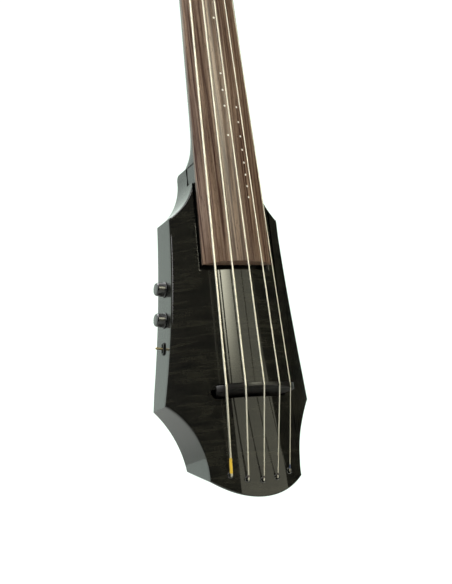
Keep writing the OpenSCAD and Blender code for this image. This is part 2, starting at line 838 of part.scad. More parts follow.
module rear_ferrules() {
    color("silver") placed() for (i = [0:4]) anchor_frame(i) translate([0, 0, anchor_run(i) - rear_barrel_l])
        rotate_extrude($fn = round_n) polygon([
            [2.2, 0], [6.35, 0], [6.35, rear_barrel_l - 1.8], [7.45, rear_barrel_l - 1.8],
            [7.45, rear_barrel_l - 0.6], [7, rear_barrel_l - 0.2], [4.95, rear_barrel_l - 0.2],
            [4.95, rear_barrel_l - ball_inset], [2.2, rear_barrel_l - ball_inset]
        ]);
}

// ---- controls --------------------------------------------------------------------------------
module knob() {
    difference() {
        rotate_extrude($fn = fine_n) polygon([
            [0, 0.4], [skirt_r - 0.3, 0.4], [skirt_r, 0.8], [skirt_r, skirt_t], [skirt_r - 0.5, skirt_t + 0.5],
            [knob_d / 2, skirt_t + 0.9], [knob_d / 2 - 0.8, knob_h - 1.6], [knob_d / 2 - 2, knob_h], [0, knob_h]
        ]);
        translate([0, 0, -1]) cylinder(r = pot_shaft_r, h = knob_h - 1.5, $fn = round_n);
        translate([0, 0, -1]) cylinder(r = 7.8, h = 4.6, $fn = round_n);
        // Pointer line
        translate([-0.4, 4, knob_h - 0.5]) cube([0.8, 5, 2]);
    }
}

module volume_knob() { color([0.06, 0.06, 0.06]) placed() at_left_wall(VOLUME_AT) knob(); }
module tone_knob() { color([0.06, 0.06, 0.06]) placed() at_left_wall(TONE_AT) knob(); }

module pot_shaft() {
    translate([0, 0, -wall_t - 6]) cylinder(r = pot_shaft_r, h = wall_t + 6 + knob_h - 2.5, $fn = round_n);
    translate([0, 0, -wall_t - 7.5]) cylinder(r = 7, h = 1.5, $fn = round_n);
}

module volume_shaft() { color("silver") placed() at_left_wall(VOLUME_AT) pot_shaft(); }
module tone_shaft() { color("silver") placed() at_left_wall(TONE_AT) pot_shaft(); }

module control_pots() {
    color("silver") placed() for (place = [VOLUME_AT, TONE_AT]) at_left_wall(place) difference() {
        union() {
            translate([0, 0, -wall_t - pot_t]) cylinder(r = pot_r, h = pot_t, $fn = round_n);
            translate([0, 0, -wall_t - 1]) cylinder(r = pot_bush_r, h = wall_t + 3, $fn = round_n);
            for (s = [-1:1]) translate([-pot_r - 5, s * 4 - 1, -wall_t - 6]) cube([8, 2, 0.8]);
        }
        translate([0, 0, -wall_t - 9]) cylinder(r = 7.6, h = 6, $fn = round_n);
        translate([0, 0, -wall_t - 8]) cylinder(r = pot_shaft_r + slip, h = wall_t + 20, $fn = round_n);
    }
}

module pot_nuts() {
    color("silver") placed() for (place = [VOLUME_AT, TONE_AT]) at_left_wall(place) difference() {
        translate([0, 0, -1.2]) union() {
            cylinder(r = 6.8, h = 0.7, $fn = round_n);
            translate([0, 0, 0.7]) cylinder(r = 6, h = 2, $fn = 6);
        }
        translate([0, 0, -5]) cylinder(r = pot_bush_r, h = 20, $fn = round_n);
    }
}

module toggle_switch() {
    color("silver") placed() at_left_wall(TOGGLE_AT) difference() {
        union() {
            translate([-13.5, -7, -wall_t - 1.5]) cube([27, 14, 1.4]);
            translate([-6.5, -4, -wall_t - 13]) cube([13, 8, 11.5]);
        }
        // Cavity in which the lever's ball turns
        translate([0, 0, -pivot_in]) rotate([90, 0, 0]) cylinder(r = 3.2, h = 6.4, center = true, $fn = round_n);
        translate([-4.2, -1.9, -pivot_in]) cube([8.4, 3.8, pivot_in]);
        for (v = [-1, 1]) translate([v * 11, 0, -wall_t - 5]) cylinder(r = 1.1, h = 10, $fn = small_n);
    }
}

// Raised rim round the slot
module toggle_bezel() {
    color([0.06, 0.06, 0.06]) placed() at_left_wall(TOGGLE_AT) difference() {
        translate([0, 0, -0.5]) linear_extrude(bezel_t + 0.5) toggle_slot_outline(bezel_rim);
        translate([0, 0, -2]) linear_extrude(bezel_t + 4) toggle_slot_outline(0.1);
    }
}

module toggle_lever() {
    color([0.62, 0.58, 0.48]) placed() at_left_wall(TOGGLE_AT) translate([0, 0, -pivot_in]) union() {
        rotate([90, 0, 0]) cylinder(r = 3, h = 6, center = true, $fn = round_n);
        cylinder(r1 = 1.45, r2 = lever_r, h = pivot_in + lever_out - 1.2, $fn = small_n);
        translate([0, 0, pivot_in + lever_out - 1.3]) sphere(lever_r * 1.03, $fn = small_n);
    }
}

module toggle_screws() {
    color("silver") placed() at_left_wall(TOGGLE_AT) for (v = [-1, 1]) {
        translate([v * 11, 0, -wall_t - 1.5]) rotate([180, 0, 0]) union() {
            cylinder(r = 2, h = 1.2, $fn = small_n);
            translate([0, 0, -5]) cylinder(r = 0.85, h = 5.5, $fn = small_n);
        }
    }
}

module output_jack() {
    color("silver") placed() at_right_wall(JACK_AT) difference() {
        union() {
            translate([0, 0, -jack_plate_t - 4]) cylinder(r = jack_r, h = 4, $fn = round_n);
            translate([0, 0, -jack_l]) cylinder(r = 6.5, h = jack_l - jack_plate_t - 2, $fn = round_n);
            translate([0, 0, -jack_plate_t - 1]) cylinder(r = 4.7, h = jack_plate_t + 1, $fn = round_n);
        }
        translate([0, 0, -jack_bore_l]) cylinder(r = jack_bore_r, h = jack_bore_l + 5, $fn = round_n);
        translate([0, 0, -jack_l + 2]) cylinder(r = 4.6, h = jack_l - jack_bore_l - 2, $fn = round_n);
    }
}

module jack_plate() {
    color([0.07, 0.07, 0.07]) placed() at_right_wall(JACK_AT) difference() {
        translate([0, 0, -jack_plate_t]) linear_extrude(jack_plate_t) jack_plate_outline(0);
        translate([0, 0, -5]) cylinder(r = 4.75, h = 10, $fn = round_n);
        for (v = [-1, 1]) translate([v * 15, 0, 0]) screw_hole(2.3, 1.1, 8);
    }
}

module jack_screws() {
    color("silver") placed() at_right_wall(JACK_AT) for (v = [-1, 1]) translate([v * 15, 0, 0]) screw(2.25, 1.05, 8);
}

module circuit_board() {
    color("darkgreen") placed() union() {
        translate([cavity_in - 22, cavity_front + 6, 92]) cube([20, 1.6, 50]);
        for (v = [98, 134]) translate([cavity_in - 12, cavity_front, v]) rotate([-90, 0, 0])
            cylinder(r = 2, h = 6.5, $fn = small_n);
        for (v = [106, 116, 126]) translate([cavity_in - 16, cavity_front + 7, v]) cube([6, 4, 5]);
    }
}

module wiring() {
    color("black") placed() {
        bar([cavity_in - 14, wire_y, wire_z], [side_half(JACK_AT[1]) - jack_l - 1, wire_y, wire_z], 1.3, 12);
        bar([lead_x, 68, 8], [lead_x, 83.4, cavity_low + 5], 1.1, 12);
    }
}

module cavity_cover() {
    color([0.09, 0.09, 0.09]) placed() on_upper_back() difference() {
        slab(-cover_t, 0) cover_outline(0);
        for (p = COVER_SCREWS) translate([p[0], 0, p[1]]) rotate([-90, 0, 0]) screw_hole(1.95, 1.1, 8);
    }
}

module cavity_screws() {
    color("silver") placed() on_upper_back() for (p = COVER_SCREWS) {
        translate([p[0], 0, p[1]]) rotate([-90, 0, 0]) screw(1.9, 1, 9);
    }
}

// ---- stand mount -----------------------------------------------------------------------------
module stand_plate() {
    color([0.55, 0.55, 0.55]) placed() translate([0, back_drop, -stand_drop]) rotate([-90, 0, 0]) difference() {
        union() {
            translate([-plate_w / 2, -plate_h / 2, -plate_t]) cube([plate_w, plate_h, plate_t]);
            translate([0, 0, -thread_l - 1.5]) cylinder(r = plate_boss_r, h = thread_l, $fn = round_n);
        }
        translate([0, 0, -thread_l]) cylinder(r = thread_r, h = thread_l + 5, $fn = round_n);
        stand_screw_places() screw_hole(4, 2.1, 20);
    }
}

module stand_plate_screws() {
    color("silver") placed() translate([0, back_drop, -stand_drop]) rotate([-90, 0, 0])
        stand_screw_places() screw(3.9, 1.75, 22);
}

// ---- tuners --------------------------------------------------------------------------------
// z = 0 is the back of the headstock at post i, z points away from it, x towards the key
// and y down the headstock
module at_post_back(i) {
    translate([POST_X[i], head_t, POST_V[i]])
        rotate([-90, 0, 0]) mirror([KEY_SIDE[i] < 0 ? 1 : 0, 0, 0]) children();
}

// z = 0 is the front of the headstock at post i, and z points away from it
module at_post(i) {
    translate([POST_X[i], 0, POST_V[i]]) rotate([90, 0, 0]) children();
}

module frame_screw_places() {
    for (x = [-9.5, 9.5], y = [-24.5, 10]) translate([x, y, 0]) children();
}

module tuner_frame() {
    ear_x = worm_len / 2 + 0.5;
    difference() {
        union() {
            translate([-13, -28, 0]) cube([26, 41.5, frame_t]);
            for (x = [ear_x, -ear_x - ear_t]) translate([x, -20.4, 0]) cube([ear_t, 9, worm_w + 5]);
        }
        translate([0, 0, -5]) cylinder(r = post_r + slip, h = 20, $fn = round_n);
        translate([-30, -gear_centre, worm_w]) rotate([0, 90, 0])
            cylinder(r = key_r + slip, h = 60, $fn = round_n);
        frame_screw_places() translate([0, 0, frame_t]) screw_hole(2.3, 1.3, 9);
    }
}

module tuner_frames() {
    color([0.25, 0.25, 0.25]) placed() in_head() for (i = [0:4]) at_post_back(i) tuner_frame();
}

module tuner_bushings() {
    color([0.25, 0.25, 0.25]) placed() in_head() for (i = [0:4]) at_post(i) difference() {
        union() {
            cylinder(r = 8.5, h = 1.4, $fn = round_n);
            translate([0, 0, -10]) cylinder(r = bush_r - 1, h = 11, $fn = round_n);
        }
        translate([0, 0, -20]) cylinder(r = post_r + slip, h = 40, $fn = round_n);
    }
}

module tuner_screws() {
    color([0.25, 0.25, 0.25]) placed() in_head() for (i = [0:4]) at_post_back(i) {
        frame_screw_places() translate([0, 0, frame_t]) screw(2.25, 1.15, 10);
    }
}

// Cross section of the worm: the axial profile of one thread laid round the axis
function worm_radius(a) = let (s = abs(worm_lead * a / 360), tip = 0.5, foot = 1.4)
    s <= tip ? worm_tip_r : s >= foot ? worm_root_r
    : worm_tip_r + (worm_root_r - worm_tip_r) * (s - tip) / (foot - tip);

module worm() {
    start = 90 - 360 * (worm_len + worm_lead) / (2 * worm_lead);
    rotate([0, 90, 0]) rotate([0, 0, start]) translate([0, 0, -worm_len / 2])
        linear_extrude(worm_len, twist = -360 * worm_len / worm_lead, slices = 36)
            polygon([for (k = [-10:9]) let (a = k * 18) worm_radius(a) * [cos(a), sin(a)]]);
}

module tuner_key(i) {
    color([0.2, 0.2, 0.2]) placed() in_head() at_post_back(i) translate([0, -gear_centre, worm_w]) {
        worm();
        translate([-worm_len / 2 - ear_t - 2, 0, 0]) rotate([0, 90, 0])
            cylinder(r = key_r, h = worm_len / 2 + ear_t + 28, $fn = round_n);
        translate([24, 0, 0]) rotate([0, 90, 0]) cylinder(r1 = 3, r2 = 4, h = 4, $fn = round_n);
        translate([40, 0, 0]) rotate_extrude($fn = round_n) polygon([
            [0, -4.5], [10, -4.2], [13, -3], [14, -1.2], [14, 1.2], [13, 3], [10, 4.2], [0, 4.5]
        ]);
    }
}

module tuner_key_b() { tuner_key(0); }
module tuner_key_e() { tuner_key(1); }
module tuner_key_a() { tuner_key(2); }
module tuner_key_d() { tuner_key(3); }
module tuner_key_g() { tuner_key(4); }

post_foot = 3.5;
post_seat = 3.4;

module tuner_post(i) {
    color([0.75, 0.75, 0.75]) placed() in_head() at_post_back(i) difference() {
        union() {
            translate([0, 0, -head_t - post_up]) cylinder(r = post_r, h = head_t + post_up + post_foot, $fn = round_n);
            translate([0, 0, -head_t - post_up]) cylinder(r = post_r + 1.4, h = 2.2, $fn = round_n);
            cylinder(r = post_seat, h = worm_w + gear_t / 2, $fn = round_n);
        }
        translate([0, 0, worm_w - 8]) cylinder(r = 1.5, h = 20, $fn = small_n);
        translate([0, 0, -head_t - post_up - 1]) cylinder(r = 1.9, h = 12, $fn = small_n);
    }
}

module tuner_post_b() { tuner_post(0); }
module tuner_post_e() { tuner_post(1); }
module tuner_post_a() { tuner_post(2); }
module tuner_post_d() { tuner_post(3); }
module tuner_post_g() { tuner_post(4); }

function tooth(k) = let (a = (k + 0.5) * 360 / gear_teeth) [
    for (p = [[gear_root_r, -1], [gear_tip_r, -0.42], [gear_tip_r, 0.42], [gear_root_r, 1]])
        [p[0] * cos(a) - p[1] * sin(a), p[0] * sin(a) + p[1] * cos(a)]
];

module tuner_gear(i) {
    color([0.72, 0.6, 0.3]) placed() in_head() at_post_back(i) {
        difference() {
            union() {
                translate([0, 0, worm_w - gear_t / 2]) linear_extrude(gear_t)
                    polygon([for (k = [0:gear_teeth - 1]) each tooth(k)]);
                translate([0, 0, post_foot]) cylinder(r = 6, h = 3.5, $fn = round_n);
            }
            cylinder(r = post_seat, h = 20, $fn = round_n);
        }
        difference() {
            union() {
                translate([0, 0, worm_w + gear_t / 2]) cylinder(r = 4.5, h = 1.8, $fn = round_n);
                translate([0, 0, worm_w - 7.5]) cylinder(r = 1.45, h = 10, $fn = small_n);
            }
            translate([-5, -0.5, worm_w + gear_t / 2 + 0.9]) cube([10, 1, 2]);
        }
    }
}

module tuner_gear_b() { tuner_gear(0); }
module tuner_gear_e() { tuner_gear(1); }
module tuner_gear_a() { tuner_gear(2); }
module tuner_gear_d() { tuner_gear(3); }
module tuner_gear_g() { tuner_gear(4); }

body_core();
top_plate();
neck();
fingerboard();
position_dots();
nut();
truss_rod();
truss_rod_cover();
truss_cover_screws();
neck_bolts();
bridge();
bridge_height_screws();
bridge_pickups();
string_b();
string_e();
string_a();
string_d();
string_g();
string_silks();
ball_ends();
front_ferrules();
rear_ferrules();
volume_knob();
tone_knob();
volume_shaft();
tone_shaft();
control_pots();
pot_nuts();
toggle_switch();
toggle_lever();
toggle_bezel();
toggle_screws();
output_jack();
jack_plate();
jack_screws();
circuit_board();
wiring();
cavity_cover();
cavity_screws();
stand_plate();
stand_plate_screws();
tuner_frames();
tuner_bushings();
tuner_screws();
tuner_key_b();
tuner_key_e();
tuner_key_a();
tuner_key_d();
tuner_key_g();
tuner_post_b();
tuner_post_e();
tuner_post_a();
tuner_post_d();
tuner_post_g();
tuner_gear_b();
tuner_gear_e();
tuner_gear_a();
tuner_gear_d();
tuner_gear_g();
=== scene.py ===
"""Finishes the solid-body electric double bass: rounds its edges, lacquers and oils its woods,
plates its metals, and sets it in a plain light room. Run as a script."""

import json
import math

import bmesh
import bpy
from bpy.props import FloatProperty, FloatVectorProperty, PointerProperty
from mathutils import Matrix, Vector


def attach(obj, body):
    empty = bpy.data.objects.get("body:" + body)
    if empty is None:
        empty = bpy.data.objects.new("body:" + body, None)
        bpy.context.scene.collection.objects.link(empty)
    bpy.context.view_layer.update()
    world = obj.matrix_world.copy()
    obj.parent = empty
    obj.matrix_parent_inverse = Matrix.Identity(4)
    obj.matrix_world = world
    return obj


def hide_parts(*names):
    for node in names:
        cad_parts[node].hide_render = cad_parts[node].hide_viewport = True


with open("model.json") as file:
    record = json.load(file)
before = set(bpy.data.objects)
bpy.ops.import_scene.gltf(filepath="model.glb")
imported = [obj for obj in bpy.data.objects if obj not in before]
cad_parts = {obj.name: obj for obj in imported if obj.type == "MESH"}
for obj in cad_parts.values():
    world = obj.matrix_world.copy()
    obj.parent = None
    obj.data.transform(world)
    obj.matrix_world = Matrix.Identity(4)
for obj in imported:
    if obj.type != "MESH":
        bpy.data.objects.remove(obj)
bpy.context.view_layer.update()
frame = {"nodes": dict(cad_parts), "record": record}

bl_info = {
    "name": "Electric Double Bass",
    "version": (1, 0, 0),
    "blender": (4, 5, 0),
    "location": "3D View > Sidebar > Double Bass",
    "description": "Builds the finished pieces of a solid-body electric double bass",
    "category": "Object",
}

MM = 0.001

# The middle string crosses the bridge here
BRIDGE = Vector((0, -126.5, 35)) * MM
ARCH_AXIS_Y = BRIDGE.y + (36.6 + 152.6) * MM
ARCH_R = 152.6 * MM
ARCH_TILT = math.radians(0.93)
KNEE_Z = (14 + 35) * MM
BACK_SLOPE = math.radians(6)
BODY_TOP_Z = (322 + 35) * MM

LETTERS = "beadg"

# How close a CAD corner lies to the front or the back to count as on it
FRONT_REACH = 1.2 * MM
BACK_REACH = 0.3 * MM
ON_ARCH = 0.05 * MM
WELD = 0.002 * MM
FLAT_ENOUGH = math.radians(0.4)
SAME_SURFACE = math.cos(math.radians(40))

# The room, in metres and degrees round from straight ahead of the front
FLOOR_Z = -0.75
CURTAIN_R, CURTAIN_FROM, CURTAIN_TURN = 3.0, -125, 245
PANEL_TURN, PANEL_OUT = 27, 2.3
STRIP_OUT, STRIP_SPAN = 2.6, (-61, -74)
CEILING_Z = 3.4

# The viewer, turned so that the picture has the instrument's own slant
EYE = Vector((-0.79687, -1.63738, -0.23779))
EYE_RIGHT = Vector((0.89981283, -0.41917309, -0.12095784))
EYE_UP = Vector((0.00883308, -0.2596899, 0.96565166))
EYE_AHEAD = Vector((0.43618672, 0.86997418, 0.22996971))


def srgb(code):
    """Linear colour of an sRGB hex code such as #1a2b3c."""
    parts = [int(code[i:i + 2], 16) / 255 for i in (1, 3, 5)]
    return [p / 12.92 if p <= 0.04045 else ((p + 0.055) / 1.055) ** 2.4 for p in parts]


def colour(label, words, code):
    return FloatVectorProperty(name=label, description=words, subtype="COLOR", size=3,
                               min=0, max=1, default=srgb(code))


def length(label, words, mm):
    return FloatProperty(name=label, description=words, default=mm * MM, min=0, unit="LENGTH")


class BassSizes(bpy.types.PropertyGroup):
    front_round: length("Front edge", "Rounding along the front edge of the top", 2.4)
    back_round: length("Back edge", "Rounding along the back of the body", 3.2)
    corner_round: length("Back upper corner", "Rounding behind the neck's heel", 7.0)
    board_round: length("Fingerboard edge", "Rounding along the fingerboard's edges", 0.6)
    bridge_round: length("Bridge edge", "Rounding of the bridge's edges", 0.7)
    metal_round: length("Metal edge", "Rounding of turned and stamped metal edges", 0.25)
    head_round: length("Headstock edge", "Rounding along the headstock", 1.2)
    flame_gap: length("Flame spacing", "Distance between the stripes of the flamed maple", 5.2)
    streak_gap: length("Rosewood streak", "Width of a streak in the fingerboard", 2.4)
    winding_gap: length("String ribbon", "Pitch of the ribbon, drawn coarse to show", 1.1)
    thread_gap: length("Silk thread", "Pitch of the silk thread", 0.8)
    pocket_round: length("Bridge pocket edge", "Rounding round the bridge's pocket", 0.4)
    thin_round: length("Thin part edge", "Rounding of the nut and the switch's rim", 0.3)
    cover_round: length("Cover edge", "Rounding of covers and the stand plate", 0.5)
    plate_round: length("Jack plate edge", "Rounding of the jack's plate", 0.4)
    knob_round: length("Knob edge", "Rounding of the two knobs", 0.8)


class BassColours(bpy.types.PropertyGroup):
    flame_dark: colour("Flame dark", "Stained maple between the flames", "#090908")
    flame_light: colour("Flame light", "Stained maple on the flames", "#23221c")
    lacquer_black: colour("Black lacquer", "Lacquer on the body's back and sides", "#10110f")
    rosewood_dark: colour("Rosewood dark", "Dark streaks of the fingerboard", "#3a2018")
    rosewood_light: colour("Rosewood light", "Light streaks of the fingerboard", "#877161")
    ebony: colour("Ebony", "Bridge and nut", "#151312")
    nickel: colour("Nickel ribbon", "Flat-wound strings", "#e4dfcf")
    silk_low: colour("Silk of the lowest string", "Thread at its lower end", "#d6b024")
    silk_high: colour("Silk of the highest string", "Thread at its lower end", "#22304e")
    lever_metal: colour("Switch lever", "Worn nickel plating", "#b3a583")


def sizes():
    return bpy.context.scene.bass_sizes


def colours():
    return bpy.context.scene.bass_colours


# A wave texture at scale 1 repeats every 0.314 of a length
WAVE_TURN = 0.314


# ---- materials -------------------------------------------------------------------------------
def add(tree, kind, inputs=None, **settings):
    """Adds a node, sets its own settings, and gives each named input a value or a link."""
    made = tree.nodes.new(kind)
    for name, value in settings.items():
        setattr(made, name, value)
    for name, value in (inputs or {}).items():
        if isinstance(value, bpy.types.NodeSocket):
            tree.links.new(value, made.inputs[name])
        else:
            made.inputs[name].default_value = value
    return made


def new_material(name):
    """An empty material, its tree and the object's own coordinates. Making a name again empties
    the slots of every piece that already had it."""
    old = bpy.data.materials.get(name)
    if old:
        bpy.data.materials.remove(old)
    material = bpy.data.materials.new(name)
    material.use_nodes = True
    tree = material.node_tree
    tree.nodes.clear()
    where = add(tree, "ShaderNodeTexCoord").outputs["Object"]
    return material, tree, where


def close(tree, shader):
    add(tree, "ShaderNodeOutputMaterial", {"Surface": shader.outputs["BSDF"]})


def rgba(value):
    return [*value, 1.0]


def ramp(tree, factor, stops, interpolation="LINEAR"):
    """A colour ramp through (position, colour) stops."""
    made = add(tree, "ShaderNodeValToRGB", {"Fac": factor})
    made.color_ramp.interpolation = interpolation
    points = made.color_ramp.elements
    while len(points) < len(stops):
        points.new(0.5)
    for point, (position, value) in zip(points, stops):
        point.position = position
        point.color = rgba(value)
    return made.outputs["Color"]


def stretched_noise(tree, where, cell, turn=(0, 0, 0), detail=4.0, distortion=0.0):
    """Noise whose cells measure cell = (x, y, z) metres."""
    placed = add(tree, "ShaderNodeMapping", {
        "Vector": where, "Rotation": turn, "Scale": [1 / size for size in cell]})
    return add(tree, "ShaderNodeTexNoise", {
        "Vector": placed.outputs["Vector"], "Scale": 1.0, "Detail": detail, "Roughness": 0.55,
        "Distortion": distortion}).outputs["Fac"]


def flamed_maple_under_gloss():
    """Maple stained black, with flames across its grain, under polished polyester lacquer:
    the flames show as faint bands below a mirror-like clear coat."""
    material, tree, where = new_material("flamed_maple_under_gloss")
    gap = sizes().flame_gap
    slant = (0, math.radians(3.5), 0)
    flames = stretched_noise(tree, where, (gap * 9, gap * 9, gap * 1.15), slant, 2.0, 0.6)
    broad = stretched_noise(tree, where, (gap * 14, gap * 14, gap * 7), slant, 2.0)
    grain = stretched_noise(tree, where, (0.5 * MM, 0.5 * MM, 26 * MM), (0, 0, 0), 3.0)
    both = add(tree, "ShaderNodeMath", {0: flames, 1: broad}, operation="MULTIPLY")
    c = colours()
    mid = [(a + b) / 2 for a, b in zip(c.flame_dark, c.flame_light)]
    base = ramp(tree, both.outputs["Value"],
                [(0.14, c.flame_dark), (0.26, mid), (0.36, c.flame_light)])
    shade = add(tree, "ShaderNodeMix", {"Factor": 0.25, "A": base, "B": ramp(
        tree, grain, [(0.4, c.flame_dark), (0.7, c.flame_light)])}, data_type="RGBA")
    wave = add(tree, "ShaderNodeBump", {
        "Height": flames, "Strength": 0.25, "Distance": 0.12 * MM})
    shader = add(tree, "ShaderNodeBsdfPrincipled", {
        "Base Color": shade.outputs["Result"], "Roughness": 0.5, "Specular IOR Level": 0.05,
        "Coat Weight": 1.0, "Coat Roughness": 0.045, "Coat IOR": 1.5,
        "Normal": wave.outputs["Normal"]})
    close(tree, shader)
    return material


def black_lacquer(name="polished_black_lacquer", roughness=0.05):
    """Solid black polyester lacquer, buffed: a deep black mirror with the least orange peel."""
    material, tree, where = new_material(name)
    peel = stretched_noise(tree, where, (9 * MM, 9 * MM, 9 * MM), (0, 0, 0), 1.0)
    skin = add(tree, "ShaderNodeBump", {"Height": peel, "Strength": 0.12, "Distance": 0.05 * MM})
    dust = stretched_noise(tree, where, (60 * MM, 60 * MM, 60 * MM), (0, 0, 0), 3.0)
    base = ramp(tree, dust, [(0.3, colours().lacquer_black),
                             (0.75, [v * 1.5 for v in colours().lacquer_black])])
    shader = add(tree, "ShaderNodeBsdfPrincipled", {
        "Base Color": base, "Roughness": 0.5, "Specular IOR Level": 0.05, "Coat Weight": 1.0,
        "Coat Roughness": roughness, "Coat IOR": 1.52, "Normal": skin.outputs["Normal"]})
    close(tree, shader)
    return material


def oiled_rosewood():
    """Rosewood rubbed with oil: brown streaks along the board, open dark pores, a soft sheen."""
    material, tree, where = new_material("oiled_rosewood")
    gap = sizes().streak_gap
    c = colours()
    streaks = stretched_noise(tree, where, (gap, gap, gap * 90), (0, 0.004, 0), 5.0, 0.4)
    pores = stretched_noise(tree, where, (0.55 * MM, 0.55 * MM, 9 * MM), (0, 0, 0), 2.0)
    middle = [(a * 0.55 + b * 0.45) for a, b in zip(c.rosewood_dark, c.rosewood_light)]
    base = ramp(tree, streaks, [(0.38, c.rosewood_dark), (0.5, middle), (0.62, c.rosewood_light)])
    dark = add(tree, "ShaderNodeMix", {"Factor": ramp(
        tree, pores, [(0.30, (1, 1, 1)), (0.40, (0, 0, 0))]), "A": base,
        "B": rgba([v * 0.5 for v in c.rosewood_dark])}, data_type="RGBA")
    sunk = add(tree, "ShaderNodeBump", {"Height": pores, "Strength": 0.35, "Distance": 0.1 * MM})
    rough = add(tree, "ShaderNodeMapRange", {"Value": streaks, "To Min": 0.24, "To Max": 0.38})
    shader = add(tree, "ShaderNodeBsdfPrincipled", {
        "Base Color": dark.outputs["Result"], "Roughness": rough.outputs["Result"],
        "Normal": sunk.outputs["Normal"]})
    close(tree, shader)
    return material


def polished_ebony():
    """Ebony, sanded and polished: nearly black, with short pores, the lightest of them painted
    grey as a glint, a painted highlight.
    """
    material, tree, where = new_material("polished_ebony")
    pores = stretched_noise(tree, where, (12 * MM, 0.8 * MM, 0.8 * MM), (0, 0, 0), 3.0)
    c = colours().ebony
    # Darker pores, then plain ebony, then a painted grey highlight on the lightest pores, standing
    # for the glint they catch
    base = ramp(tree, pores, [
        (0.35, [v * 0.6 for v in c]), (0.6, c), (0.8, [v * 3.5 for v in c])])
    sunk = add(tree, "ShaderNodeBump", {"Height": pores, "Strength": 0.3, "Distance": 0.08 * MM})
    shader = add(tree, "ShaderNodeBsdfPrincipled", {
        "Base Color": base, "Roughness": 0.34, "Normal": sunk.outputs["Normal"]})
    close(tree, shader)
    return material


def nickel_ribbon():
    """Flat nickel ribbon wound round a steel core: a satin shine with fine cross lines."""
    material, tree, where = new_material("nickel_ribbon_winding")
    lines = add(tree, "ShaderNodeTexWave", {
        "Vector": where, "Scale": WAVE_TURN / sizes().winding_gap, "Distortion": 0.0},
        wave_type="BANDS", bands_direction="Z")
    ridge = add(tree, "ShaderNodeBump", {
        "Height": lines.outputs["Fac"], "Strength": 0.35, "Distance": 0.1 * MM})
    wear = stretched_noise(tree, where, (14 * MM, 14 * MM, 30 * MM), (0, 0, 0), 3.0)
    nickel = colours().nickel
    base = ramp(tree, wear, [(0.3, [v * 0.8 for v in nickel]), (0.7, nickel)])
    shader = add(tree, "ShaderNodeBsdfPrincipled", {
        "Base Color": base, "Metallic": 1.0, "Roughness": 0.33,
        "Normal": ridge.outputs["Normal"]})
    close(tree, shader)
    return material


def metal(name, code, roughness, grain=(4, 4, 4), depth=0.15):
    """A bare or plated metal whose finish is told apart by its grain, in millimetres."""
    material, tree, where = new_material(name)
    marks = stretched_noise(tree, where, [g * MM for g in grain], (0, 0, 0), 3.0)
    base = ramp(tree, marks, [(0.3, [v * 0.85 for v in srgb(code)]), (0.7, srgb(code))])
    rough = add(tree, "ShaderNodeMapRange", {
        "Value": marks, "To Min": roughness * 0.8, "To Max": roughness * 1.25})
    bump = add(tree, "ShaderNodeBump", {
        "Height": marks, "Strength": depth, "Distance": 0.04 * MM})
    shader = add(tree, "ShaderNodeBsdfPrincipled", {
        "Base Color": base, "Metallic": 1.0, "Roughness": rough.outputs["Result"],
        "Normal": bump.outputs["Normal"]})
    close(tree, shader)
    return material


def coated(name, code, roughness, cell=1.0, depth=0.2, coat=0.0):
    """Plastic, enamel, pearl or board: a plain body under a moulded or sprayed skin."""
    material, tree, where = new_material(name)
    skin = stretched_noise(tree, where, [cell * MM] * 3, (0, 0, 0), 2.0)
    base = ramp(tree, skin, [(0.3, [v * 0.88 for v in srgb(code)]), (0.7, srgb(code))])
    bump = add(tree, "ShaderNodeBump", {"Height": skin, "Strength": depth, "Distance": 0.05 * MM})
    shader = add(tree, "ShaderNodeBsdfPrincipled", {
        "Base Color": base, "Roughness": roughness, "Coat Weight": coat, "Coat Roughness": 0.04,
        "Normal": bump.outputs["Normal"]})
    close(tree, shader)
    return material


def silk_thread():
    """Silk thread wound close on a string, yellow on the lowest and blue on the highest."""
    material, tree, where = new_material("wound_silk_thread")
    across = add(tree, "ShaderNodeSeparateXYZ", {"Vector": where}).outputs["X"]
    spread = add(tree, "ShaderNodeMapRange", {
        "Value": across, "From Min": -50 * MM, "From Max": 50 * MM})
    c = colours()
    base = ramp(tree, spread.outputs["Result"], [
        (0.0, c.silk_low), (0.16, srgb("#3a2f2a")), (0.84, c.silk_high)], "CONSTANT")
    turns = add(tree, "ShaderNodeTexWave", {
        "Vector": where, "Scale": WAVE_TURN / sizes().thread_gap},
        wave_type="BANDS", bands_direction="Z")
    bump = add(tree, "ShaderNodeBump", {
        "Height": turns.outputs["Fac"], "Strength": 0.5, "Distance": 0.12 * MM})
    shader = add(tree, "ShaderNodeBsdfPrincipled", {
        "Base Color": base, "Roughness": 0.7, "Sheen Weight": 0.4,
        "Normal": bump.outputs["Normal"]})
    close(tree, shader)
    return material


# ---- shaping ---------------------------------------------------------------------------------
def body_of(node):
    for body, names in frame["record"]["behaviour"]["bodies"].items():
        if node in names:
            return body
    raise RuntimeError(f"no body holds {node}")


def paint(material, *nodes):
    """Gives CAD nodes a material."""
    for name in nodes:
        mesh = frame["nodes"][name].data
        mesh.materials.clear()
        mesh.materials.append(material)


def settle(name, shape, material, body, crease=35):
    """Turns a bmesh into a finished piece, smooth but for its creases, that rides on a body."""
    for face in shape.faces:
        face.smooth = True
    for edge in shape.edges:
        if len(edge.link_faces) == 2:
            edge.smooth = edge.calc_face_angle(0) < math.radians(crease)
    mesh = bpy.data.meshes.new(name)
    shape.to_mesh(mesh)
    shape.free()
    mesh.materials.append(material)
    piece = bpy.data.objects.new(name, mesh)
    bpy.context.scene.collection.objects.link(piece)
    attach(piece, body)
    return piece


